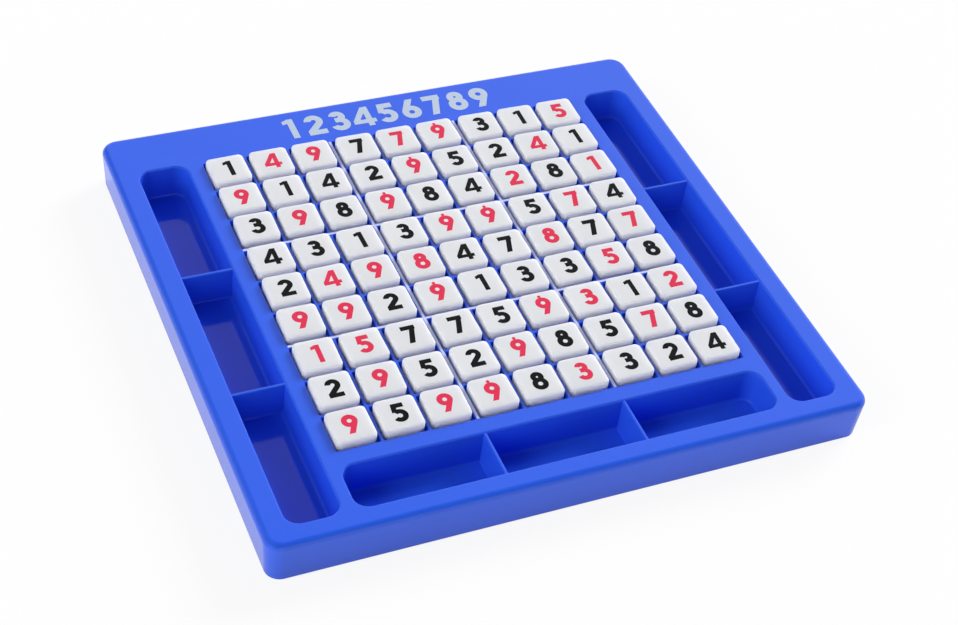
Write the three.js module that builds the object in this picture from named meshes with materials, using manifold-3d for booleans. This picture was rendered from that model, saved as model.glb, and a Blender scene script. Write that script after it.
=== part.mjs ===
// A sudoku board: one moulded tray with a grid of shallow pockets and storage troughs on three sides,
// and square number tiles, one standing in each pocket.
// Millimetres, +Z up. The origin is the middle of the tray's footprint, on the surface it stands on.
// The player sits at -Y, and row 1 of the grid is the back row.

import * as THREE from 'three';
import { mergeVertices } from 'three/addons/utils/BufferGeometryUtils.js';
import Module from 'manifold-3d';

// The grid
const CELLS = 9; // pockets along each side
const BOX_CELLS = 3; // pockets along each side of a box
const POCKET_DEPTH = 2.5; // from the tray's top to a pocket's floor
const RIDGE = 1.1; // wall between two pockets of a box
const BOX_RIDGE = 1.7; // wall between two boxes

// The tiles
const TILE_SIDE = 15.4;
const TILE_THICKNESS = 4.9;
const TILE_CORNER = 2; // radius of a tile's upright edges
const TILE_ROUND = 1.1; // round of the edge of a tile's top
const TILE_CLEARANCE = 0.75; // between a tile and each wall of its pocket
const FIXED_TILES = 22; // so many, counted row by row from the back, are one solid with the tray

// The tray
const WALL = 2; // thickness of every wall, floor and plate
const TRAY_CORNER = 6.5; // radius of the tray's upright edges
const RIM_ROUND = 2; // round of the tray's top edge
const SKIRT_LEAN = 0.8; // how far the tray's outer wall leans in from rim to foot
const SIDE_RIM = 9.6; // top strip outside a side trough
const FRONT_RIM = 8.6; // top strip outside the front trough
const SIDE_LAND = 6.75; // top strip between the grid and a side trough
const FRONT_LAND = 7; // top strip between the grid and the front trough
const BACK_LAND = 24.55; // top strip behind the grid
const FLOOR_LIFT = 1.8; // from the table to the underside of a trough

// The storage troughs
const COMPARTMENTS = 3; // in each trough
const TROUGH_WIDTH = 19.7;
const TROUGH_DEPTH = 14.2;
const TROUGH_CORNER = 5.5; // radius of a trough's upright corners at its mouth
const TROUGH_DRAFT = 0.5; // how far a trough's wall leans in from mouth to floor
const MOUTH_ROUND = 0.8; // round of a trough's top edge
const FLOOR_ROUND = 1.2; // round between a trough's wall and floor
const SIDE_TROUGH_PAST_GRID = 1.35; // how far a side trough runs on behind the grid
const FRONT_TROUGH_PAST_GRID = 1.5; // how far the front trough runs on past each side of the grid
const DIVIDER_TOP = 1.2; // thickness of a divider's top edge
const DIVIDER_FOOT = 1.8; // thickness of a divider at the floor
const DIVIDER_DROP = 0.4; // from the tray's top down to a divider's

// How finely round stretches are stepped
const TRAY_CORNER_STEPS = 6;
const TROUGH_CORNER_STEPS = 5;
const TILE_CORNER_STEPS = 3;
const RIM_STEPS = 3;
const MOUTH_STEPS = 2;
const TILE_ROUND_STEPS = 2;
const FLOOR_STEPS = 1;

// How far a cutting block stands out of the surface that it cuts
const OVERCUT = 1;

const TRAY_BLUE = new THREE.MeshStandardMaterial({ color: 0x4068e6, roughness: 0.3, metalness: 0 });
const TILE_WHITE = new THREE.MeshStandardMaterial({ color: 0xe6e8ee, roughness: 0.4, metalness: 0 });

// Sizes and places that follow from the ones above
const pocketSide = TILE_SIDE + 2 * TILE_CLEARANCE;
const boxCount = CELLS / BOX_CELLS;
const gridSpan = CELLS * pocketSide + (CELLS - boxCount) * RIDGE + (boxCount - 1) * BOX_RIDGE;
const trayWidth = gridSpan + 2 * (SIDE_LAND + TROUGH_WIDTH + SIDE_RIM);
const trayDepth = gridSpan + BACK_LAND + FRONT_LAND + TROUGH_WIDTH + FRONT_RIM;
const trayHeight = TROUGH_DEPTH + WALL + FLOOR_LIFT;
const troughFront = -trayDepth / 2 + FRONT_RIM;
const gridY = troughFront + TROUGH_WIDTH + FRONT_LAND + gridSpan / 2;
const pocketFloor = trayHeight - POCKET_DEPTH;
const troughFloor = trayHeight - TROUGH_DEPTH;
const rimRound = Math.min(RIM_ROUND, WALL);
const fusedDepth = WALL / 2; // how far joined shapes run into each other

const wasm = await Module();
wasm.setup();

// Turns a closed geometry into a solid that can be cut and joined.
function solid(geometry) {
  const bare = new THREE.BufferGeometry();
  bare.setAttribute('position', geometry.getAttribute('position'));
  bare.setIndex(geometry.index);
  const merged = mergeVertices(bare);
  const vertProperties = merged.getAttribute('position').array;
  const triVerts = new Uint32Array(merged.index.array);
  return new wasm.Manifold(new wasm.Mesh({ numProp: 3, vertProperties, triVerts }));
}

// Turns a finished solid back into a geometry with flat-shaded faces.
function geometryOf(body) {
  const { vertProperties, triVerts } = body.getMesh();
  const indexed = new THREE.BufferGeometry();
  indexed.setAttribute('position', new THREE.BufferAttribute(vertProperties, 3));
  indexed.setIndex(new THREE.BufferAttribute(triVerts, 1));
  const faceted = indexed.toNonIndexed();
  faceted.computeVertexNormals();
  return faceted;
}

// The points of a rectangle with round corners, counter-clockwise.
function roundedOutline(width, depth, corner, steps) {
  const x = width / 2 - corner;
  const y = depth / 2 - corner;
  const quarter = Math.PI / 2;
  const centres = [[x, y], [-x, y], [-x, -y], [x, -y]];
  return centres.flatMap(([cx, cy], i) => {
    const arc = new THREE.EllipseCurve(cx, cy, corner, corner, i * quarter, (i + 1) * quarter);
    return arc.getPoints(steps);
  });
}

// A closed block through level sections of one rounded rectangle, given from the bottom up.
// Each section is its height and how far its outline stands out of the rectangle's.
function loft(sections, width, depth, corner, steps) {
  const outlines = sections.map(({ out }) => (
    roundedOutline(width + 2 * out, depth + 2 * out, corner + out, steps)
  ));
  const count = outlines[0].length;
  const positions = outlines.flatMap((outline, level) => (
    outline.flatMap((point) => [point.x, point.y, sections[level].z])
  ));
  const faces = [];
  for (let level = 0; level < sections.length - 1; level += 1) {
    for (let i = 0; i < count; i += 1) {
      const here = level * count + i;
      const next = level * count + ((i + 1) % count);
      faces.push(here, next, next + count, here, next + count, here + count);
    }
  }
  const top = (sections.length - 1) * count;
  THREE.ShapeUtils.triangulateShape(outlines[0], []).forEach(([a, b, c]) => {
    faces.push(c, b, a, a + top, b + top, c + top);
  });
  const block = new THREE.BufferGeometry();
  block.setAttribute('position', new THREE.Float32BufferAttribute(positions, 3));
  block.setIndex(faces);
  return block;
}

// Sections that round off a block's top edge.
function roundedTop(z, radius, steps) {
  return Array.from({ length: steps + 1 }, (_, i) => {
    const angle = (i / steps) * (Math.PI / 2);
    return { z: z - radius * (1 - Math.sin(angle)), out: radius * (Math.cos(angle) - 1) };
  });
}

// The middle of a pocket along one side of the grid, counted from the grid's own middle.
function cellPlace(cell) {
  const boxesPassed = Math.floor(cell / BOX_CELLS);
  const start = cell * (pocketSide + RIDGE) + boxesPassed * (BOX_RIDGE - RIDGE);
  return start + pocketSide / 2 - gridSpan / 2;
}

// Every cell of the grid, with row 0 at the back and column 0 at the left.
function gridCells() {
  return Array.from({ length: CELLS * CELLS }, (_, i) => {
    const row = Math.floor(i / CELLS);
    const column = i % CELLS;
    return { row, column, fixed: i < FIXED_TILES, x: cellPlace(column), y: gridY - cellPlace(row) };
  });
}

// A tile standing on z = 0, with a root below that where it is one solid with the tray.
function tile(root = 0) {
  const sections = [{ z: -root, out: 0 }, ...roundedTop(TILE_THICKNESS, TILE_ROUND, TILE_ROUND_STEPS)];
  return loft(sections, TILE_SIDE, TILE_SIDE, TILE_CORNER, TILE_CORNER_STEPS);
}

// The three troughs, each as its middle, its size at the mouth and the way its dividers are spaced.
function troughs() {
  const sideX = gridSpan / 2 + SIDE_LAND + TROUGH_WIDTH / 2;
  const sideBack = gridY + gridSpan / 2 + SIDE_TROUGH_PAST_GRID;
  const sideLength = sideBack - troughFront;
  const frontLength = gridSpan + 2 * FRONT_TROUGH_PAST_GRID;
  const side = { y: troughFront + sideLength / 2, width: TROUGH_WIDTH, depth: sideLength, alongX: false };
  return [
    { ...side, x: -sideX },
    { ...side, x: sideX },
    { x: 0, y: troughFront + TROUGH_WIDTH / 2, width: frontLength, depth: TROUGH_WIDTH, alongX: true },
  ];
}

// The hollow of a trough: round at the mouth, leaning in, round at the floor.
function troughHollow({ x, y, width, depth }) {
  const floorRound = Array.from({ length: FLOOR_STEPS + 1 }, (_, i) => {
    const angle = (i / FLOOR_STEPS) * (Math.PI / 2);
    const z = troughFloor + FLOOR_ROUND * (1 - Math.sin(angle));
    return { z, out: -TROUGH_DRAFT - FLOOR_ROUND * (1 - Math.cos(angle)) };
  }).reverse();
  const mouth = Array.from({ length: MOUTH_STEPS + 1 }, (_, i) => {
    const angle = (i / MOUTH_STEPS) * (Math.PI / 2);
    const z = trayHeight - MOUTH_ROUND * (1 - Math.sin(angle));
    return { z, out: MOUTH_ROUND * (1 - Math.cos(angle)) };
  });
  const above = { z: trayHeight + OVERCUT, out: MOUTH_ROUND };
  const sections = [...floorRound, ...mouth, above];
  return loft(sections, width, depth, TROUGH_CORNER, TROUGH_CORNER_STEPS).translate(x, y, 0);
}

// The outside of a trough under the tray, one wall's thickness from its hollow.
function troughTub({ x, y, width, depth }) {
  const sections = [
    { z: troughFloor - WALL, out: WALL - TROUGH_DRAFT },
    { z: trayHeight - fusedDepth, out: WALL },
  ];
  return loft(sections, width, depth, TROUGH_CORNER, TROUGH_CORNER_STEPS).translate(x, y, 0);
}

// The plates that part a trough into equal compartments, rooted in its floor and walls.
function dividers({ x, y, width, depth, alongX }) {
  const length = alongX ? width : depth;
  const across = TROUGH_WIDTH + 2 * fusedDepth;
  const foot = troughFloor - fusedDepth;
  const crest = trayHeight - DIVIDER_DROP;
  const profile = new THREE.Shape([
    new THREE.Vector2(-DIVIDER_FOOT / 2, foot),
    new THREE.Vector2(DIVIDER_FOOT / 2, foot),
    new THREE.Vector2(DIVIDER_TOP / 2, crest),
    new THREE.Vector2(-DIVIDER_TOP / 2, crest),
  ]);
  return Array.from({ length: COMPARTMENTS - 1 }, (_, i) => {
    const place = ((i + 1) / COMPARTMENTS - 0.5) * length;
    const plate = new THREE.ExtrudeGeometry(profile, { depth: across, bevelEnabled: false });
    plate.translate(0, 0, -across / 2).rotateX(Math.PI / 2).translate(place, 0, 0);
    if (!alongX) plate.rotateZ(Math.PI / 2);
    return plate.translate(x, y, 0);
  });
}

// The tray's skirt and top plate, open underneath.
function shell() {
  const outer = [{ z: 0, out: -SKIRT_LEAN }, ...roundedTop(trayHeight, rimRound, RIM_STEPS)];
  const leanAtCut = SKIRT_LEAN * (1 + OVERCUT / (trayHeight - rimRound));
  const inner = [{ z: -OVERCUT, out: -WALL - leanAtCut }, { z: trayHeight - WALL, out: -WALL }];
  const block = solid(loft(outer, trayWidth, trayDepth, TRAY_CORNER, TRAY_CORNER_STEPS));
  return block.subtract(solid(loft(inner, trayWidth, trayDepth, TRAY_CORNER, TRAY_CORNER_STEPS)));
}

// The thicker plate that the pockets are sunk into.
function gridPlate() {
  const side = gridSpan + 2 * WALL;
  const low = pocketFloor - WALL;
  const high = trayHeight - fusedDepth;
  return new THREE.BoxGeometry(side, side, high - low).translate(0, gridY, (low + high) / 2);
}

function pocket({ x, y }) {
  const height = POCKET_DEPTH + OVERCUT;
  return new THREE.BoxGeometry(pocketSide, pocketSide, height).translate(x, y, pocketFloor + height / 2);
}

function tray(cells) {
  const places = troughs();
  const fixedTiles = cells.filter((cell) => cell.fixed);
  let body = shell().add(solid(gridPlate()));
  places.forEach((trough) => { body = body.add(solid(troughTub(trough))); });
  places.forEach((trough) => { body = body.subtract(solid(troughHollow(trough))); });
  places.flatMap(dividers).forEach((plate) => { body = body.add(solid(plate)); });
  cells.forEach((cell) => { body = body.subtract(solid(pocket(cell))); });
  fixedTiles.forEach(({ x, y }) => {
    body = body.add(solid(tile(fusedDepth).translate(x, y, pocketFloor)));
  });
  const mesh = new THREE.Mesh(geometryOf(body), TRAY_BLUE);
  mesh.name = 'tray';
  return mesh;
}

function looseTiles(cells) {
  const shape = tile();
  shape.computeVertexNormals();
  const group = new THREE.Group();
  cells.filter((cell) => !cell.fixed).forEach(({ row, column, x, y }) => {
    const mesh = new THREE.Mesh(shape, TILE_WHITE);
    mesh.name = `tile_row${row + 1}_column${column + 1}`;
    mesh.position.set(x, y, pocketFloor);
    group.add(mesh);
  });
  return group;
}

const board = new THREE.Group();
const cells = gridCells();
board.add(tray(cells), looseTiles(cells));

export default board;
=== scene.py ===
"""Sudoku board: one moulded tray with divided storage troughs, and 81 number tiles in its pockets."""

import math
import random

import bmesh
import bpy
from bpy.props import (
    FloatProperty,
    FloatVectorProperty,
    IntProperty,
    PointerProperty,
)
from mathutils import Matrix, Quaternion, Vector
from mathutils.geometry import delaunay_2d_cdt


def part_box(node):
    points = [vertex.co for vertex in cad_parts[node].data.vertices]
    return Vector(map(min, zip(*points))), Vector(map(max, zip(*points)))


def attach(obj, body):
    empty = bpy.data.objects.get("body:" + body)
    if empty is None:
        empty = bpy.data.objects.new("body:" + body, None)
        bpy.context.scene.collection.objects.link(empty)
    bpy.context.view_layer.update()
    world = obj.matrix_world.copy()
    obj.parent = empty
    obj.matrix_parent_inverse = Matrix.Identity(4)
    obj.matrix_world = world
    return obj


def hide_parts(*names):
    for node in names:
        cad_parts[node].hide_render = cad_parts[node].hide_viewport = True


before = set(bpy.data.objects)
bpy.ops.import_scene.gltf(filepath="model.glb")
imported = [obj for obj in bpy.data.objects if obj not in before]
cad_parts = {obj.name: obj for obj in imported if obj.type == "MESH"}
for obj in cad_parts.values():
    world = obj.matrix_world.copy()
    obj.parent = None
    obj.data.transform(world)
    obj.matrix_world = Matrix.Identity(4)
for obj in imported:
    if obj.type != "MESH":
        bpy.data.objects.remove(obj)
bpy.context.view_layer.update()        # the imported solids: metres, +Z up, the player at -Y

bl_info = {
    "name": "Sudoku Board",
    "version": (1, 0, 0),
    "blender": (4, 5, 0),
    "location": "3D View > Sidebar > Sudoku Board",
    "description": "Builds a sudoku board with a moulded tray and loose number tiles",
    "category": "Add Mesh",
}

# What the frame says
MM = 0.001
CELLS = 9
BOX_CELLS = 3
TRAY_LOW, TRAY_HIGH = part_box("tray")
TRAY_SIZE = (TRAY_HIGH.x - TRAY_LOW.x, TRAY_HIGH.y - TRAY_LOW.y)
TILE_NODES = sorted(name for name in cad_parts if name.startswith("tile_row"))
TILE_LOW, TILE_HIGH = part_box(TILE_NODES[0])

# The numeral on each tile, back row first: r is printed in red, d in red with a dot above
TILE_ROWS = (
    "1 4r 9r 7 7r 9d 3 1 5r",
    "9r 1 4 2 9d 5 2 4r 1",
    "3 9r 8 9d 8 4 2r 8 1r",
    "4 3 1 3 9d 9d 5 7r 4",
    "2 4r 9r 8r 4 7 8r 7 7r",
    "9r 9r 2 9d 1 3 3 5r 8",
    "1r 5r 7 7 5 9d 3r 1 2r",
    "2 9r 5 2 9d 8 5 7r 8",
    "9r 5 9r 9d 8 3r 3 2 4",
)
BACK_NUMERALS = "123456789"


def length(name, description, default):
    """A length in metres that shows in the user's own units."""
    return FloatProperty(
        name=name, description=description, default=default, min=0.0, unit="LENGTH", precision=5
    )


def colour(name, description, default):
    """A scene-linear colour."""
    return FloatVectorProperty(
        name=name, description=description, default=default, subtype="COLOR", size=3, min=0.0, max=1.0
    )


def position(name, description, default):
    """A point in metres."""
    return FloatVectorProperty(
        name=name, description=description, default=default, size=len(default), subtype="XYZ_LENGTH",
        unit="LENGTH",
    )


def heading(name, description, default):
    """The direction in which something lies, seen from the board."""
    return FloatVectorProperty(
        name=name, description=description, default=default, size=len(default), subtype="DIRECTION"
    )


def angle(name, description, degrees):
    """An angle, given in degrees."""
    return FloatProperty(
        name=name, description=description, default=math.radians(degrees), subtype="ANGLE"
    )


def strength(name, description, default):
    """How strong a light is."""
    return FloatProperty(name=name, description=description, default=default, min=0.0)


def fraction(name, description, default):
    """A share, from none to all."""
    return FloatProperty(
        name=name, description=description, default=default, subtype="FACTOR", min=0.0, max=1.0
    )


class TraySizes(bpy.types.PropertyGroup):
    """Sizes of the moulded tray."""

    wall: length("Wall", "Thickness of every wall and floor", 2.0 * MM)
    corner: length("Corner", "Radius of the upright corners", 6.5 * MM)
    rim_round: length("Rim round", "Round of the top edge", 2.5 * MM)
    skirt_lean: length("Skirt lean", "How far the outer wall leans in from rim to foot", 0.8 * MM)
    foot_round: length("Foot round", "Round of the edge that stands on the table", 0.4 * MM)
    pocket_depth: length("Pocket depth", "From the top to a pocket's floor", 2.5 * MM)
    pocket_clearance: length("Pocket clearance", "Between a tile and each pocket wall", 0.75 * MM)
    pocket_corner: length("Pocket corner", "Radius of a pocket's upright corners", 0.5 * MM)
    pocket_round: length("Pocket round", "Round of a pocket's top edge", 0.22 * MM)
    side_rim: length("Side rim", "Top strip outside a side trough", 9.6 * MM)
    front_rim: length("Front rim", "Top strip outside the front trough", 8.6 * MM)
    trough_width: length("Trough width", "Width of a trough's mouth", 19.7 * MM)
    trough_depth: length("Trough depth", "From the top to a trough's floor", 14.2 * MM)
    trough_corner: length("Trough corner", "Radius of a trough's upright corners", 5.5 * MM)
    trough_draft: length("Trough draft", "How far a trough's wall leans in", 0.5 * MM)
    mouth_round: length("Mouth round", "Round of a trough's top edge", 0.8 * MM)
    floor_round: length("Floor round", "Round between a trough's wall and floor", 1.2 * MM)
    side_past_grid: length("Side trough overrun", "How far a side trough passes the grid", 1.35 * MM)
    front_past_grid: length("Front trough overrun", "How far the front trough passes the grid", 1.5 * MM)
    compartments: IntProperty(name="Compartments", description="In each trough", default=3, min=1)
    divider_top: length("Divider top", "Thickness of a divider's top edge", 1.2 * MM)
    divider_foot: length("Divider foot", "Thickness of a divider at the floor", 1.8 * MM)
    divider_drop: length("Divider drop", "From the tray's top down to a divider's", 0.4 * MM)
    divider_round: length("Divider round", "Round of a divider's top edges", 0.4 * MM)
    divider_fillet: length("Divider fillet", "Round between a divider and the floor", 0.7 * MM)


class TileSizes(bpy.types.PropertyGroup):
    """Sizes of the number tiles."""

    side: length("Side", "Length of a tile's side", TILE_HIGH.x - TILE_LOW.x)
    thickness: length("Thickness", "Height of a tile", TILE_HIGH.z - TILE_LOW.z)
    corner: length("Corner", "Radius of the upright edges", 2.0 * MM)
    top_round: length("Top round", "Round of the top edge", 0.7 * MM)
    foot_round: length("Foot round", "Round of the bottom edge", 0.25 * MM)
    drift: length("Drift", "How far all tiles have slid to the back", 0.4 * MM)
    slack: length("Slack", "How far a tile may lie off that place", 0.18 * MM)
    turn: angle("Turn", "How far a tile may be turned", 1.0)
    seed: IntProperty(name="Seed", description="Chooses how the loose tiles lie", default=11)
    numeral_height: length("Numeral height", "Height of the printed numeral", 9.05 * MM)


class PrintSizes(bpy.types.PropertyGroup):
    """Sizes of the print on the tray."""

    line_width: length("Line width", "Width of the lines between the boxes", 1.0 * MM)
    thickness: length("Thickness", "Thickness of the print", 0.04 * MM)
    back_height: length("Back numeral height", "Height of the numerals behind the grid", 12.6 * MM)
    back_pitch: length("Back numeral pitch", "From one numeral behind the grid to the next", 10.6 * MM)
    back_middle: position("Back middle", "Middle of the numerals behind the grid", (2.4 * MM, 98.6 * MM))


class Finishes(bpy.types.PropertyGroup):
    """Colours of the plastics and of the print."""

    tray_blue: colour("Tray blue", "Moulded tray", (0.025, 0.113, 0.81))
    tile_white: colour("Tile white", "Printed tops of the tiles", (0.745, 0.755, 0.778))
    # Painted light: the tiles' sides get a paler white than their tops, standing in for the light that
    # falls on them
    tile_side_painted_light: colour("Tile side white", "Bare sides of the tiles", (0.87, 0.875, 0.89))
    black_ink: colour("Black ink", "Numerals of the black set", (0.004, 0.005, 0.006))
    red_ink: colour("Red ink", "Numerals of the red set", (0.77, 0.038, 0.098))
    line_white: colour("Line white", "Lines between the boxes", (0.66, 0.70, 0.95))
    back_silver: colour("Back silver", "Numerals behind the grid", (0.50, 0.60, 0.76))


class StageSettings(bpy.types.PropertyGroup):
    """Camera and light."""

    camera_place: position("Camera place", "Where the camera stands", (-0.25452, -0.49481, 0.51922))
    camera_aim: position("Camera aim", "Middle of the picture", (-0.00627, -0.02492, 0.018))
    camera_roll: angle("Camera roll", "Turn of the camera about its own axis", 8.0)
    lens: FloatProperty(name="Lens", description="Focal length in millimetres", default=72.7, min=1.0)
    right_lamp: strength("Right lamp", "Strength of the lamp on the right", 2.9)
    right_lamp_side: heading("Right lamp side", "Where the right lamp stands", (0.775, 0.385, 0.50))
    right_lamp_width: angle("Right lamp width", "How wide the right lamp is, seen from the board", 24.0)
    left_lamp: strength("Left lamp", "Strength of the lamp on the left", 1.45)
    left_lamp_side: heading("Left lamp side", "Where the left lamp stands", (-0.86, -0.14, 0.48))
    left_lamp_width: angle("Left lamp width", "How wide the left lamp is, seen from the board", 36.0)
    dim_sky: strength("Dim sky", "Strength of the sky all round", 0.03)
    back_sky: strength("Back sky", "Strength of the sky at the back", 1.1)
    back_sky_side: heading("Back sky side", "Middle of the sky at the back", (0.75, 0.66, 0.0))
    left_sky: strength("Left sky", "Strength of the sky on the left", 0.4)
    left_sky_side: heading("Left sky side", "Middle of the sky on the left", (-0.82, 0.22, 0.53))
    front_sky: strength("Front sky", "Strength of the sky low at the front", 1.5)
    front_sky_side: heading("Front sky side", "Middle of the sky at the front", (0.0, -1.0, 0.0))
    backdrop_radius: length("Backdrop radius", "From the board to the backdrop", 8.0)
    backdrop_height: length("Backdrop height", "Height of the backdrop", 1.5)
    backdrop_bend: length("Backdrop bend", "Radius of the bend between floor and backdrop", 0.8)
    floor_white: fraction("Floor white", "How far the floor is plain white to the eye", 0.9)
    mirror_white: fraction("Mirror white", "How far the floor is plain white in a reflection", 0.6)


# Outlines in the level plane, counter-clockwise lists of points

def arc(centre, radius, start, end, steps):
    """Points along an arc from one angle to another, both in degrees."""
    turns = [math.radians(start + (end - start) * i / steps) for i in range(steps + 1)]
    return [Vector((centre[0] + radius * math.cos(a), centre[1] + radius * math.sin(a))) for a in turns]


def circle(centre, radius, corners):
    """A closed circle with so many corners."""
    return arc(centre, radius, 0, 360 * (corners - 1) / corners, corners - 1)


def rounded_rectangle(width, depth, corner, steps):
    """A rectangle with round corners, centred on the origin."""
    x = width / 2 - corner
    y = depth / 2 - corner
    centres = ((x, y), (-x, y), (-x, -y), (x, -y))
    outline = []
    for quarter, centre in enumerate(centres):
        outline += arc(centre, corner, 90 * quarter, 90 * quarter + 90, steps)
    return outline


def patch(*corners):
    """A straight-edged outline, from its corners."""
    return [Vector(corner) for corner in corners]


def bar(left, right, low, high):
    """An upright rectangle."""
    return patch((left, low), (right, low), (right, high), (left, high))


def bend(centre, radius, start, end, steps=20):
    """A curved stroke one unit wide along an arc, from one angle in degrees round to a larger one."""
    outer = arc(centre, radius + 0.5, start, end, steps)
    inner = arc(centre, radius - 0.5, start, end, steps)
    return outer + inner[::-1]


def ring(centre, radius):
    """A round stroke one unit wide, in two halves."""
    return [bend(centre, radius, 0, 180), bend(centre, radius, 180, 360)]


def touching_point(foot, centre, radius):
    """Where a line that rises from a foot point touches the right-hand side of a circle."""
    reach = Vector(centre) - Vector(foot)
    slope = math.atan2(reach.y, reach.x) - math.asin(radius / reach.length)
    return Vector(centre) + radius * Vector((math.sin(slope), -math.cos(slope)))


# Numerals as overlapping strokes, measured in stroke widths from the numeral's middle
TALL = 4.3
TOP = TALL / 2
FOOT = -TALL / 2


def one():
    flag = patch((0.1, TOP), (-0.82, TOP - 0.35), (-0.82, TOP - 1.1), (0.1, TOP - 0.84))
    return [bar(-0.11, 0.82, FOOT, TOP), flag]


def two():
    radius = 0.87
    centre = (0.0, TOP - radius - 0.5)
    heel = Vector((-1.36, FOOT + 0.95))
    start = touching_point(heel, centre, radius - 0.5)
    away = (start - Vector(centre)).normalized()
    turn = math.degrees(math.atan2(away.y, away.x))
    diagonal = [heel, heel + away, start + away, start]
    return [bend(centre, radius, turn, 172), diagonal, bar(-1.36, 1.38, FOOT, FOOT + 1.0)]


def three():
    upper, lower = 0.69, 0.94
    high = (-0.05, TOP - upper - 0.5)
    low = (0.0, FOOT + lower + 0.5)
    return [
        bend(high, upper, -90, 164),
        bend(low, lower, -164, 90),
        bar(-0.56, 0.0, FOOT + 2 * lower, FOOT + 2 * lower + 1.0),
    ]


def four():
    stem_left, stem_right, arm = 0.29, 1.17, 1.69
    slope = patch((-arm, -0.73), (-arm + 1.0, -0.73), (stem_right, TOP), (stem_right - 1.0, TOP))
    return [bar(stem_left, stem_right, FOOT, TOP), bar(-arm, arm, -1.46, -0.64), slope]


def five():
    radius = 0.97
    bowl = (-0.05, FOOT + radius + 0.5)
    stem = patch((-1.21, 0.14), (-0.27, 0.14), (0.0, TOP), (-0.95, TOP))
    return [bar(-0.95, 1.19, TOP - 1.0, TOP), stem, bend(bowl, radius, -150, 132)]


def seven():
    leg = patch((-0.88, FOOT), (0.19, FOOT), (1.34, TOP - 0.5), (0.33, TOP - 0.5))
    return [bar(-1.34, 1.34, TOP - 1.0, TOP), leg]


def eight():
    upper, lower = 0.7, 0.94
    return ring((0.0, TOP - upper - 0.5), upper) + ring((0.0, FOOT + lower + 0.5), lower)


def nine():
    radius = 0.92
    bowl = (0.0, TOP - radius - 0.5)
    foot_right = Vector((0.14, FOOT))
    touch = touching_point(foot_right, bowl, radius + 0.5)
    along = (touch - foot_right).normalized()
    inward = Vector((-along.y, along.x))
    foot_left = foot_right - Vector((1.0 / along.y, 0.0))
    return ring(bowl, radius) + [[foot_left, foot_right, touch, touch + inward]]


def six():
    return [[-point for point in stroke] for stroke in nine()]


def dot():
    return [circle((-0.09, TOP + 0.27), 0.34, 16)]


NUMERALS = {
    "1": one, "2": two, "3": three, "4": four, "5": five, "6": six, "7": seven, "8": eight, "9": nine,
}


def numeral_outlines(text, height, dotted=False):
    """The strokes of one numeral at its printed height, centred on the origin."""
    strokes = NUMERALS[text]()
    if dotted:
        strokes += dot()
    return [[point * (height / TALL) for point in stroke] for stroke in strokes]


# Meshes

LEAST_CORNER = 0.05 * MM
FACE_WEIGHT = 100
# Outlines are filled only inside, and points this close, in millimetres, become one
INSIDE_ONLY = 1
SNAP = 1e-4


def stacked_outline(width, depth, corner, steps, out):
    """A rounded rectangle that stands out of its nominal size by some distance."""
    return rounded_rectangle(width + 2 * out, depth + 2 * out, max(corner + out, LEAST_CORNER), steps)


def join_rings(bm, below, above):
    """Adds a band of faces between two closed rings of vertices."""
    for i in range(len(below)):
        j = (i + 1) % len(below)
        bm.faces.new((below[i], below[j], above[j], above[i]))


def add_block(bm, size, corner, steps, levels, place=(0.0, 0.0), capped=True):
    """Adds a block through level sections of a height and an overhang. Returns its top ring."""
    rings = []
    for z, out in levels:
        outline = stacked_outline(size[0], size[1], corner, steps, out)
        rings.append([bm.verts.new((place[0] + p.x, place[1] + p.y, z)) for p in outline])
    for below, above in zip(rings, rings[1:]):
        join_rings(bm, below, above)
    bm.faces.new(rings[0][::-1])
    if capped:
        bm.faces.new(rings[-1])
    return rings[-1]


def add_prism(bm, profile, placed):
    """Adds a prism with a profile at both ends, placed by a function of point and end."""
    first = [bm.verts.new(placed(point, 0)) for point in profile]
    second = [bm.verts.new(placed(point, 1)) for point in profile]
    join_rings(bm, first, second)
    bm.faces.new(first[::-1])
    bm.faces.new(second)


def quarter_round(radius, steps):
    """Steps round a quarter circle, as distances along a wall and across it."""
    angles = [math.pi / 2 * i / steps for i in range(steps + 1)]
    return [(radius * math.sin(a), radius * (1 - math.cos(a))) for a in angles]


def outer_edge(z, radius, steps):
    """Sections that round a block's top edge inwards."""
    return [(z - radius + up, -across) for up, across in quarter_round(radius, steps)]


def foot_edge(z, radius, steps):
    """Sections that round a block's bottom edge inwards."""
    return [(z + radius - up, -across) for up, across in reversed(quarter_round(radius, steps))]


def flared_edge(z, radius, steps):
    """Sections that round a hollow's mouth outwards."""
    return [(z - radius + up, across) for up, across in quarter_round(radius, steps)]


def finished_mesh(bm, name):
    """Turns a bmesh into a mesh with its faces pointing out."""
    bmesh.ops.recalc_face_normals(bm, faces=bm.faces)
    mesh = bpy.data.meshes.new(name)
    bm.to_mesh(mesh)
    bm.free()
    return mesh


def new_object(name, mesh):
    piece = bpy.data.objects.new(name, mesh)
    bpy.context.scene.collection.objects.link(piece)
    return piece


def shape_with(body, bm, operation):
    """Cuts a closed block out of a body, or joins it on."""
    tool = new_object("tool", finished_mesh(bm, "tool"))
    step = body.modifiers.new("shape", "BOOLEAN")
    step.object = tool
    step.operation = operation
    step.solver = "MANIFOLD"
    depsgraph = bpy.context.evaluated_depsgraph_get()
    shaped = bpy.data.meshes.new_from_object(body.evaluated_get(depsgraph))
    body.modifiers.clear()
    before = body.data
    body.data = shaped
    bpy.data.meshes.remove(before)
    bpy.data.meshes.remove(tool.data)


def shade_smooth(mesh, crease):
    """Smooth shading that keeps creases sharp above an angle in degrees."""
    mesh.shade_smooth()
    mesh.set_sharp_from_angle(angle=math.radians(crease))


def keep_flats(piece):
    """Keeps the shading of flat faces flat beside rounds."""
    weighted = piece.modifiers.new("even shading", "WEIGHTED_NORMAL")
    weighted.weight = FACE_WEIGHT
    weighted.keep_sharp = True


def snapped(point):
    """A point's place in millimetres, rounded so that two points of one place compare equal."""
    return round(point.x / MM, 3), round(point.y / MM, 3)


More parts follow.
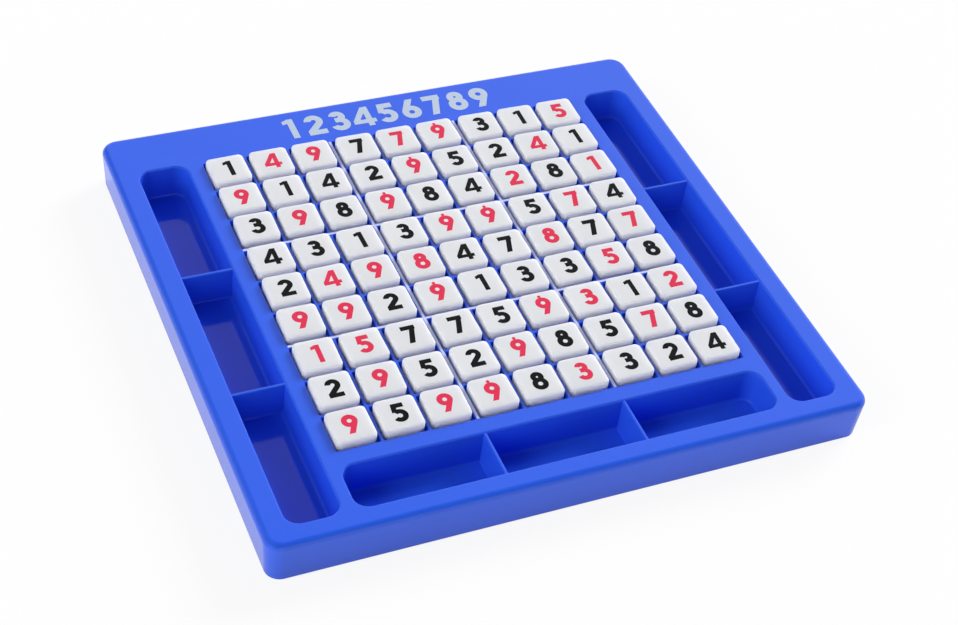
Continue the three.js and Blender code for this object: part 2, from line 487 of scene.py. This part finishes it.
def joined_outlines(outlines, ground=None):
    """Triangles that cover overlapping outlines and the ground round them, and which are inked."""
    faces = [ground] if ground else []
    faces += outlines
    points = []
    corners = []
    for face in faces:
        corners.append(list(range(len(points), len(points) + len(face))))
        points += [Vector(snapped(point)) for point in face]
    places, _, triangles, _, _, origins = delaunay_2d_cdt(points, [], corners, INSIDE_ONLY, SNAP)
    first_stroke = 1 if ground else 0
    inked = [any(number >= first_stroke for number in numbers) for numbers in origins]
    return [place * MM for place in places], triangles, inked


def add_print(bm, outlines, low, high):
    """Adds a thin closed layer of print in the shape of overlapping outlines."""
    points, triangles, inked = joined_outlines(outlines)
    shown = [t for t, is_ink in zip(triangles, inked) if is_ink]
    tops = [bm.verts.new((p.x, p.y, high)) for p in points]
    feet = [bm.verts.new((p.x, p.y, low)) for p in points]
    sides = {}
    for a, b, c in shown:
        bm.faces.new((tops[a], tops[b], tops[c]))
        bm.faces.new((feet[c], feet[b], feet[a]))
        for start, end in ((a, b), (b, c), (c, a)):
            sides[(start, end)] = (end, start) not in sides
            if (end, start) in sides:
                sides[(end, start)] = False
    for (start, end), is_rim in sides.items():
        if is_rim:
            bm.faces.new((feet[start], feet[end], tops[end], tops[start]))
    bmesh.ops.delete(bm, geom=[v for v in bm.verts if not v.link_faces], context="VERTS")


# Materials

# How far apart the noises of two pieces lie, and the part of a noise's range that is used
PIECES_APART = 50.0
NOISE_MIDDLE = (0.3, 0.7)
# How level a face is where the painted light on the sides begins to run out, and where it has
SIDE_LIGHT_TO_TOP = (0.4, 0.95)
# Sockets of a colour mix
MIX_SHARE, MIX_FIRST, MIX_SECOND, MIX_RESULT = 0, 6, 7, 2
TRAY_IOR = 1.43
TILE_IOR = 1.36
TILE_LIGHT_DEPTH = 6.0 * MM
INK_GLOSS = 0.1
MATT_WHITE = (0.9, 0.9, 0.9, 1.0)
PLAIN_WHITE = (1.0, 1.0, 1.0, 1.0)


def mapped(tree, source, span, values):
    """Maps a span of a value onto another span."""
    ranged = tree.nodes.new("ShaderNodeMapRange")
    for socket, number in zip(("From Min", "From Max", "To Min", "To Max"), (*span, *values)):
        ranged.inputs[socket].default_value = number
    tree.links.new(source, ranged.inputs["Value"])
    return ranged.outputs["Result"]


def calculated(tree, operation, first, second):
    """One step of arithmetic on a value and on a second value or a plain number."""
    step = tree.nodes.new("ShaderNodeMath")
    step.operation = operation
    tree.links.new(first, step.inputs[0])
    if isinstance(second, float):
        step.inputs[1].default_value = second
    else:
        tree.links.new(second, step.inputs[1])
    return step.outputs[0]


class Surface:
    """A material's node tree with its Principled shader, and short ways to add to it."""

    def __init__(self, name):
        self.material = bpy.data.materials.new(name)
        self.material.use_nodes = True
        self.tree = self.material.node_tree
        self.shader = self.tree.nodes["Principled BSDF"]

    def node(self, kind, **settings):
        made = self.tree.nodes.new(kind)
        for key, value in settings.items():
            setattr(made, key, value)
        return made

    def link(self, source, target):
        self.tree.links.new(source, target)

    def noise(self, size, detail=2.0, per_piece=False):
        """A noise whose blotches are about so many metres across."""
        places = self.node("ShaderNodeTexCoord")
        noise = self.node("ShaderNodeTexNoise", noise_dimensions="4D")
        noise.inputs["Scale"].default_value = 1.0 / size
        noise.inputs["Detail"].default_value = detail
        self.link(places.outputs["Object"], noise.inputs["Vector"])
        if per_piece:
            piece = self.node("ShaderNodeObjectInfo")
            apart = calculated(self.tree, "MULTIPLY", piece.outputs["Random"], PIECES_APART)
            self.link(apart, noise.inputs["W"])
        return noise.outputs["Fac"]

    def spread(self, source, low, high):
        """Maps the middle of a noise's range onto a range of values."""
        return mapped(self.tree, source, NOISE_MIDDLE, (low, high))

    def toned(self, source, base, depth):
        """Colours the surface, sunk to a share of its colour where a noise is low."""
        mix = self.node("ShaderNodeMix", data_type="RGBA")
        mix.inputs[MIX_FIRST].default_value = (*(channel * depth for channel in base), 1.0)
        mix.inputs[MIX_SECOND].default_value = (*base, 1.0)
        self.link(self.spread(source, 0.0, 1.0), mix.inputs[MIX_SHARE])
        self.link(mix.outputs[MIX_RESULT], self.shader.inputs["Base Color"])
        return mix.outputs[MIX_RESULT]

    def paint_light_on_sides(self, level, upright):
        """Paints light on upright faces as a paler colour, which runs out over the top edge's round."""
        places = self.node("ShaderNodeTexCoord")
        parts = self.node("ShaderNodeSeparateXYZ")
        mix = self.node("ShaderNodeMix", data_type="RGBA")
        mix.inputs[MIX_SECOND].default_value = (*upright, 1.0)
        self.link(places.outputs["Normal"], parts.inputs["Vector"])
        self.link(mapped(self.tree, parts.outputs["Z"], SIDE_LIGHT_TO_TOP, (1.0, 0.0)), mix.inputs[MIX_SHARE])
        self.link(level, mix.inputs[MIX_FIRST])
        self.link(mix.outputs[MIX_RESULT], self.shader.inputs["Base Color"])

    def roughness_between(self, source, low, high):
        self.link(self.spread(source, low, high), self.shader.inputs["Roughness"])

    def bumps(self, *layers):
        """Surface relief from layers of noise, each with its height in metres."""
        normal = None
        for source, height in layers:
            bump = self.node("ShaderNodeBump")
            bump.inputs["Distance"].default_value = height
            self.link(source, bump.inputs["Height"])
            if normal is not None:
                self.link(normal, bump.inputs["Normal"])
            normal = bump.outputs["Normal"]
        self.link(normal, self.shader.inputs["Normal"])


def tray_plastic(finishes):
    """Glossy moulded blue plastic with faint flow marks and a slightly wavy skin."""
    surface = Surface("tray_plastic")
    surface.toned(surface.noise(45 * MM), finishes.tray_blue, depth=0.97)
    surface.roughness_between(surface.noise(14 * MM), low=0.08, high=0.13)
    waves = surface.noise(18 * MM, detail=1.0)
    grain = surface.noise(0.9 * MM)
    surface.bumps((waves, 0.03 * MM), (grain, 0.001 * MM))
    surface.shader.inputs["IOR"].default_value = TRAY_IOR
    return surface.material


def tile_plastic(finishes):
    """Satin white plastic that lets light in a little way, with painted light on its sides, which are
    whiter than its top.
    """
    surface = Surface("tile_plastic")
    batch = surface.noise(30 * MM, detail=1.0, per_piece=True)
    top = surface.toned(batch, finishes.tile_white, depth=0.965)
    # Painted light: the sides are coloured paler than the top
    surface.paint_light_on_sides(top, finishes.tile_side_painted_light)
    surface.roughness_between(surface.noise(5 * MM, per_piece=True), low=0.44, high=0.58)
    waves = surface.noise(4 * MM, detail=1.0, per_piece=True)
    grain = surface.noise(0.5 * MM)
    surface.bumps((waves, 0.012 * MM), (grain, 0.001 * MM))
    surface.shader.inputs["IOR"].default_value = TILE_IOR
    surface.shader.inputs["Subsurface Weight"].default_value = 1.0
    surface.shader.inputs["Subsurface Radius"].default_value = (1.0, 1.0, 1.0)
    surface.shader.inputs["Subsurface Scale"].default_value = TILE_LIGHT_DEPTH
    return surface.material


def ink(name, base, low, high):
    """Pad-printed ink with a fine uneven film."""
    surface = Surface(name)
    film = surface.noise(0.8 * MM, detail=3.0, per_piece=True)
    surface.toned(film, base, depth=0.88)
    surface.roughness_between(surface.noise(1.6 * MM, per_piece=True), low, high)
    surface.bumps((surface.noise(0.35 * MM), 0.002 * MM))
    surface.shader.inputs["Specular IOR Level"].default_value = INK_GLOSS
    return surface.material


def line_print(finishes):
    """Thin white line print that lets a little of the blue through."""
    surface = Surface("line_print")
    surface.toned(surface.noise(2.2 * MM, detail=3.0), finishes.line_white, depth=0.86)
    surface.roughness_between(surface.noise(1.2 * MM), low=0.35, high=0.5)
    surface.bumps((surface.noise(0.4 * MM), 0.002 * MM))
    return surface.material


def silver_print(finishes):
    """Pale silver print with a fine sparkle of uneven film."""
    surface = Surface("silver_print")
    surface.toned(surface.noise(1.1 * MM, detail=3.0), finishes.back_silver, depth=0.9)
    surface.roughness_between(surface.noise(0.7 * MM), low=0.3, high=0.48)
    surface.bumps((surface.noise(0.3 * MM), 0.003 * MM))
    return surface.material


# Places that follow from the frame and the sizes

class Grid:
    """Where the cells of the grid are, from the tiles in the frame."""

    def __init__(self, scene):
        tray = scene.board_tray
        tile = scene.board_tile
        middles = {name: (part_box(name)[0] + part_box(name)[1]) / 2 for name in TILE_NODES}
        last_row = [middles[f"tile_row{CELLS}_column{column + 1}"] for column in range(CELLS)]
        self.columns = [middle.x for middle in last_row]
        box_step = self.columns[BOX_CELLS] - self.columns[BOX_CELLS - 1]
        step = self.columns[1] - self.columns[0]
        front = last_row[0].y
        passed = [(CELLS - 1 - row, (CELLS - 1 - row) // BOX_CELLS) for row in range(CELLS)]
        self.rows = [front + cells * step + boxes * (box_step - step) for cells, boxes in passed]
        self.pocket = tile.side + 2 * tray.pocket_clearance
        self.half = self.columns[-1] + self.pocket / 2
        self.y = (self.rows[0] + self.rows[-1]) / 2
        self.pocket_floor = TILE_LOW.z
        self.top = TILE_LOW.z + tray.pocket_depth
        edges = (BOX_CELLS, 2 * BOX_CELLS)
        self.box_lines_x = [(self.columns[c - 1] + self.columns[c]) / 2 for c in edges]
        self.box_lines_y = [(self.rows[r - 1] + self.rows[r]) / 2 for r in edges]

    def cells(self):
        return [(row, column) for row in range(CELLS) for column in range(CELLS)]


def troughs(tray, grid):
    """Each trough as its middle, its size at the mouth and whether it runs along X."""
    front = TRAY_LOW.y + tray.front_rim
    side_length = grid.y + grid.half + tray.side_past_grid - front
    side_x = TRAY_HIGH.x - tray.side_rim - tray.trough_width / 2
    side_y = front + side_length / 2
    front_length = 2 * (grid.half + tray.front_past_grid)
    return [
        ((-side_x, side_y), (tray.trough_width, side_length), False),
        ((side_x, side_y), (tray.trough_width, side_length), False),
        ((0.0, front + tray.trough_width / 2), (front_length, tray.trough_width), True),
    ]


# The tray's blocks

CORNER_STEPS = 14
EDGE_STEPS = 7
SMALL_STEPS = 3
HIDDEN_STEPS = 4
DIVIDER_STEPS = 5
OVERCUT = 1.0 * MM
TRAY_CREASE = 32
# A divider's fillet starts a little above the floor, as surfaces that only touch join badly
FILLET_START, FILLET_END = 268, 180


def tray_skin(tray, grid):
    """The outside of the tray."""
    bm = bmesh.new()
    foot = [(z, out - tray.skirt_lean) for z, out in foot_edge(0.0, tray.foot_round, SMALL_STEPS)]
    rim = outer_edge(grid.top, tray.rim_round, EDGE_STEPS)
    add_block(bm, TRAY_SIZE, tray.corner, CORNER_STEPS, foot + rim)
    return bm


def tray_underside(tray, grid):
    """The hollow inside the skirt, below the top plate."""
    bm = bmesh.new()
    edge = outer_edge(grid.top - tray.wall, tray.rim_round, EDGE_STEPS)
    roof = [(z, out - tray.wall) for z, out in edge]
    foot = [(-OVERCUT, -tray.wall - tray.skirt_lean)]
    add_block(bm, TRAY_SIZE, tray.corner, CORNER_STEPS, foot + roof)
    return bm


def underside_solids(tray, grid):
    """The trough tubs and the pocket plate, one wall below the hollows that they carry."""
    bm = bmesh.new()
    fused = grid.top - tray.wall / 2
    low = grid.top - tray.trough_depth - tray.wall
    edge = foot_edge(low, tray.floor_round, HIDDEN_STEPS)
    rounded = [(z, out + tray.wall - tray.trough_draft) for z, out in edge]
    for place, size, _ in troughs(tray, grid):
        add_block(bm, size, tray.trough_corner, CORNER_STEPS, rounded + [(fused, tray.wall)], place)
    side = 2 * (grid.half + tray.wall)
    levels = [(grid.pocket_floor - tray.wall, 0.0), (fused, 0.0)]
    add_block(bm, (side, side), tray.wall, HIDDEN_STEPS, levels, (0.0, grid.y))
    return bm


def hollows(tray, grid):
    """Everything that opens upwards: the troughs and the pockets."""
    bm = bmesh.new()
    floor = grid.top - tray.trough_depth
    over = grid.top + OVERCUT
    lower = [(z, out - tray.trough_draft) for z, out in foot_edge(floor, tray.floor_round, EDGE_STEPS)]
    mouth = flared_edge(grid.top, tray.mouth_round, EDGE_STEPS)
    levels = lower + mouth + [(over, tray.mouth_round)]
    for place, size, _ in troughs(tray, grid):
        add_block(bm, size, tray.trough_corner, CORNER_STEPS, levels, place)
    brim = flared_edge(grid.top, tray.pocket_round, SMALL_STEPS)
    levels = [(grid.pocket_floor, 0.0)] + brim + [(over, tray.pocket_round)]
    for row, column in grid.cells():
        place = (grid.columns[column], grid.rows[row])
        add_block(bm, (grid.pocket, grid.pocket), tray.pocket_corner, SMALL_STEPS, levels, place)
    return bm


def divider_profile(tray, grid):
    """Half-round top, leaning sides and filleted foot of a divider, across its thickness."""
    floor = grid.top - tray.trough_depth
    crest = grid.top - tray.divider_drop
    root = floor - tray.wall / 2
    radius = tray.divider_fillet
    reach = tray.divider_foot / 2 + radius
    fillet = arc((reach, floor + radius), radius, FILLET_START, FILLET_END, DIVIDER_STEPS)
    shoulder = (tray.divider_top / 2 - tray.divider_round, crest - tray.divider_round)
    crown = arc(shoulder, tray.divider_round, 0, 90, DIVIDER_STEPS)
    right = [Vector((reach, root))] + fillet + crown
    left = [Vector((-point.x, point.y)) for point in reversed(right)]
    return right + left


def dividers(tray, grid):
    """The plates that part each trough into equal compartments."""
    bm = bmesh.new()
    profile = divider_profile(tray, grid)
    half = tray.trough_width / 2 + tray.wall / 2
    for (x, y), size, along_x in troughs(tray, grid):
        run = size[0] if along_x else size[1]
        for i in range(1, tray.compartments):
            middle = (i / tray.compartments - 0.5) * run

            def placed(point, end):
                along = middle + point.x
                across = half if end else -half
                if along_x:
                    return (x + along, y + across, point.y)
                return (x + across, y + along, point.y)

            add_prism(bm, profile, placed)
    return bm


# The stage

BACKDROP_CORNERS = 64
BEND_STEPS = 10
FLOOR_DROP = 0.02 * MM
# Degrees from the middle of a bright side of the sky where its light begins, and where it is full
BACK_SKY_REACH = (73, 39)
LEFT_SKY_REACH = (52, 28)
FRONT_SKY_REACH = (40, 15)


class BOARD_OT_stage(bpy.types.Operator):
    """Set up the camera, the floor and the light"""

    bl_idname = "board.stage"
    bl_label = "Stage"

    def execute(self, context):
        stage = context.scene.board_stage
        self.add_camera(context.scene, stage)
        self.add_backdrop(stage)
        self.light_world(context.scene, stage)
        self.add_lamp("right_lamp", stage.right_lamp_side, stage.right_lamp, stage.right_lamp_width)
        self.add_lamp("left_lamp", stage.left_lamp_side, stage.left_lamp, stage.left_lamp_width)
        context.scene.view_settings.view_transform = "Standard"
        return {"FINISHED"}

    def add_camera(self, scene, stage):
        camera = bpy.data.objects.new("camera", bpy.data.cameras.new("camera"))
        scene.collection.objects.link(camera)
        place = Vector(stage.camera_place)
        towards = (Vector(stage.camera_aim) - place).to_track_quat("-Z", "Y")
        camera.rotation_mode = "QUATERNION"
        camera.rotation_quaternion = towards @ Quaternion((0.0, 0.0, 1.0), stage.camera_roll)
        camera.location = place
        camera.data.sensor_fit = "HORIZONTAL"
        camera.data.lens = stage.lens
        scene.camera = camera

    def add_backdrop(self, stage):
        """A round floor that bends up into a wall all round."""
        radius = stage.backdrop_radius - stage.backdrop_bend
        profile = arc((radius, stage.backdrop_bend), stage.backdrop_bend, -90, 0, BEND_STEPS)
        profile.append(Vector((stage.backdrop_radius, stage.backdrop_height)))
        bm = bmesh.new()
        rings = []
        for point in profile:
            around = circle((0.0, 0.0), point.x, BACKDROP_CORNERS)
            rings.append([bm.verts.new((place.x, place.y, point.y)) for place in around])
        for below, above in zip(rings, rings[1:]):
            join_rings(bm, below, above)
        bm.faces.new(rings[0][::-1])
        backdrop = new_object("backdrop", finished_mesh(bm, "backdrop"))
        backdrop.location.z = -FLOOR_DROP
        backdrop.data.materials.append(self.backdrop_white(stage))

    def backdrop_white(self, stage):
        """Matt white that looks nearly plain, straight or in a reflection, and keeps a shadow."""
        material = bpy.data.materials.new("backdrop_white")
        material.use_nodes = True
        tree = material.node_tree
        tree.nodes.clear()
        rays = tree.nodes.new("ShaderNodeLightPath")
        shares = {
            "Is Camera Ray": stage.floor_white,
            "Is Glossy Ray": stage.mirror_white,
            "Is Transmission Ray": stage.mirror_white,
        }
        share = None
        for kind, white in shares.items():
            part = calculated(tree, "MULTIPLY", rays.outputs[kind], white)
            share = part if share is None else calculated(tree, "MAXIMUM", share, part)
        matt = tree.nodes.new("ShaderNodeBsdfDiffuse")
        matt.inputs["Color"].default_value = MATT_WHITE
        plain = tree.nodes.new("ShaderNodeEmission")
        mix = tree.nodes.new("ShaderNodeMixShader")
        tree.links.new(share, mix.inputs[0])
        tree.links.new(matt.outputs[0], mix.inputs[1])
        tree.links.new(plain.outputs[0], mix.inputs[2])
        output = tree.nodes.new("ShaderNodeOutputMaterial")
        tree.links.new(mix.outputs[0], output.inputs["Surface"])
        return material

    def light_world(self, scene, stage):
        """A dim sky that grows brighter at the back, on the left and low at the front."""
        scene.world = bpy.data.worlds.new("studio")
        scene.world.use_nodes = True
        tree = scene.world.node_tree
        back = self.sky_side(tree, stage.back_sky_side, BACK_SKY_REACH, (stage.dim_sky, stage.back_sky))
        left = self.sky_side(tree, stage.left_sky_side, LEFT_SKY_REACH, (0.0, stage.left_sky))
        front = self.sky_side(tree, stage.front_sky_side, FRONT_SKY_REACH, (0.0, stage.front_sky))
        sky = calculated(tree, "ADD", calculated(tree, "ADD", back, left), front)
        background = tree.nodes["Background"]
        background.inputs["Color"].default_value = PLAIN_WHITE
        tree.links.new(sky, background.inputs["Strength"])

    def sky_side(self, tree, side, reach, strengths):
        """Strength that grows between two angles from the middle of one side of the sky."""
        places = tree.nodes.new("ShaderNodeTexCoord")
        towards = tree.nodes.new("ShaderNodeVectorMath")
        towards.operation = "DOT_PRODUCT"
        towards.inputs[1].default_value = Vector(side).normalized()
        tree.links.new(places.outputs["Generated"], towards.inputs[0])
        span = [math.cos(math.radians(degrees)) for degrees in reach]
        return mapped(tree, towards.outputs["Value"], span, strengths)

    def add_lamp(self, name, side, power, width):
        """A wide distant lamp, left out of reflections so that it draws no hard line along a rim."""
        light = bpy.data.lights.new(name, "SUN")
        light.energy = power
        light.angle = width
        lamp = bpy.data.objects.new(name, light)
        bpy.context.scene.collection.objects.link(lamp)
        lamp.location = side
        lamp.visible_glossy = False
        lamp.rotation_mode = "QUATERNION"
        lamp.rotation_quaternion = (-Vector(side)).to_track_quat("-Z", "Y")


class BOARD_OT_tray(bpy.types.Operator):
    """Mould the tray with its pockets, troughs and dividers"""

    bl_idname = "board.tray"
    bl_label = "Tray"

    def execute(self, context):
        tray = context.scene.board_tray
        grid = Grid(context.scene)
        piece = new_object("moulded_tray", finished_mesh(tray_skin(tray, grid), "moulded_tray"))
        shape_with(piece, tray_underside(tray, grid), "DIFFERENCE")
        shape_with(piece, underside_solids(tray, grid), "UNION")
        shape_with(piece, hollows(tray, grid), "DIFFERENCE")
        shape_with(piece, dividers(tray, grid), "UNION")
        piece.data.materials.clear()
        piece.data.materials.append(tray_plastic(context.scene.board_finish))
        shade_smooth(piece.data, TRAY_CREASE)
        keep_flats(piece)
        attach(piece, "tray")
        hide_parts("tray")
        return {"FINISHED"}


class BOARD_OT_box_lines(bpy.types.Operator):
    """Print the white lines between the boxes on their ridges"""

    bl_idname = "board.box_lines"
    bl_label = "Box lines"

    def execute(self, context):
        grid = Grid(context.scene)
        sizes = context.scene.board_print
        half = sizes.line_width / 2
        front, back = grid.y - grid.half, grid.y + grid.half
        lines = [bar(x - half, x + half, front, back) for x in grid.box_lines_x]
        lines += [bar(-grid.half, grid.half, y - half, y + half) for y in grid.box_lines_y]
        bm = bmesh.new()
        add_print(bm, lines, grid.top, grid.top + sizes.thickness)
        piece = new_object("box_lines", finished_mesh(bm, "box_lines"))
        piece.data.materials.append(line_print(context.scene.board_finish))
        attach(piece, "tray")
        return {"FINISHED"}


class BOARD_OT_back_numerals(bpy.types.Operator):
    """Print a row of plain numerals on the strip behind the grid"""

    bl_idname = "board.back_numerals"
    bl_label = "Back numerals"

    def execute(self, context):
        grid = Grid(context.scene)
        sizes = context.scene.board_print
        middle = Vector(sizes.back_middle)
        outlines = []
        for i, text in enumerate(BACK_NUMERALS):
            place = middle + Vector(((i - (len(BACK_NUMERALS) - 1) / 2) * sizes.back_pitch, 0.0))
            for stroke in numeral_outlines(text, sizes.back_height):
                outlines.append([point + place for point in stroke])
        bm = bmesh.new()
        add_print(bm, outlines, grid.top, grid.top + sizes.thickness)
        piece = new_object("back_numerals", finished_mesh(bm, "back_numerals"))
        piece.data.materials.append(silver_print(context.scene.board_finish))
        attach(piece, "tray")
        return {"FINISHED"}


TILE_CORNER_STEPS = 8
TILE_EDGE_STEPS = 6
TILE_CREASE = 40


class BOARD_OT_tiles(bpy.types.Operator):
    """Make the number tiles and lay one in each pocket"""

    bl_idname = "board.tiles"
    bl_label = "Number tiles"

    def execute(self, context):
        tile = context.scene.board_tile
        grid = Grid(context.scene)
        finishes = context.scene.board_finish
        body = tile_plastic(finishes)
        inks = {
            "black": ink("black_ink", finishes.black_ink, low=0.32, high=0.45),
            "red": ink("red_ink", finishes.red_ink, low=0.34, high=0.46),
        }
        draw = random.Random(tile.seed)
        shapes = {}
        for row, column in grid.cells():
            text = TILE_ROWS[row].split()[column]
            if text not in shapes:
                shapes[text] = self.tile_mesh(tile, text, body, inks)
            name = f"tile_row{row + 1}_column{column + 1}"
            piece = new_object(f"number_{name}", shapes[text])
            x = grid.columns[column] + draw.uniform(-tile.slack, tile.slack)
            y = grid.rows[row] + tile.drift + draw.uniform(-tile.slack, tile.slack)
            piece.location = (x, y, grid.pocket_floor)
            piece.rotation_euler.z = draw.uniform(-tile.turn, tile.turn)
            keep_flats(piece)
            loose = name in TILE_NODES
            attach(piece, name if loose else "tray")
            if loose:
                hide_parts(name)
        return {"FINISHED"}

    def tile_mesh(self, tile, text, body, inks):
        """A tile standing on z = 0, with its numeral inlaid in its top face."""
        bm = bmesh.new()
        levels = foot_edge(0.0, tile.foot_round, SMALL_STEPS)
        levels += outer_edge(tile.thickness, tile.top_round, TILE_EDGE_STEPS)
        size = (tile.side, tile.side)
        rim = add_block(bm, size, tile.corner, TILE_CORNER_STEPS, levels, capped=False)
        ground = [vert.co.xy for vert in rim]
        strokes = numeral_outlines(text[0], tile.numeral_height, dotted=text.endswith("d"))
        points, triangles, inked = joined_outlines(strokes, ground)
        known = {snapped(vert.co): vert for vert in rim}
        verts = [known.get(snapped(p)) or bm.verts.new((p.x, p.y, tile.thickness)) for p in points]
        for corners, is_ink in zip(triangles, inked):
            face = bm.faces.new([verts[i] for i in corners])
            face.material_index = 1 if is_ink else 0
        mesh = finished_mesh(bm, f"tile_{text}")
        mesh.materials.append(body)
        mesh.materials.append(inks["black" if text.isdigit() else "red"])
        shade_smooth(mesh, TILE_CREASE)
        return mesh


class BOARD_PT_panel(bpy.types.Panel):
    """Lists the board's pieces and their sizes"""

    bl_idname = "BOARD_PT_panel"
    bl_label = "Sudoku Board"
    bl_space_type = "VIEW_3D"
    bl_region_type = "UI"
    bl_category = "Sudoku Board"

    def draw(self, context):
        layout = self.layout
        for operator in OPERATORS:
            layout.operator(operator.bl_idname)
        for attribute in SETTINGS:
            settings = getattr(context.scene, attribute)
            box = layout.box()
            box.label(text=attribute.replace("board_", "").title())
            for key in settings.__annotations__:
                box.prop(settings, key)


OPERATORS = (BOARD_OT_stage, BOARD_OT_tray, BOARD_OT_box_lines, BOARD_OT_back_numerals, BOARD_OT_tiles)
SETTINGS = {
    "board_tray": TraySizes,
    "board_tile": TileSizes,
    "board_print": PrintSizes,
    "board_finish": Finishes,
    "board_stage": StageSettings,
}


def register():
    for cls in (*SETTINGS.values(), *OPERATORS, BOARD_PT_panel):
        bpy.utils.register_class(cls)
    for attribute, group in SETTINGS.items():
        setattr(bpy.types.Scene, attribute, PointerProperty(type=group))


def unregister():
    for attribute in SETTINGS:
        delattr(bpy.types.Scene, attribute)
    for cls in reversed((*SETTINGS.values(), *OPERATORS, BOARD_PT_panel)):
        bpy.utils.unregister_class(cls)


def main():
    register()
    bpy.ops.board.stage()
    bpy.ops.board.tray()
    bpy.ops.board.box_lines()
    bpy.ops.board.back_numerals()
    bpy.ops.board.tiles()


if __name__ == "__main__":
    main()
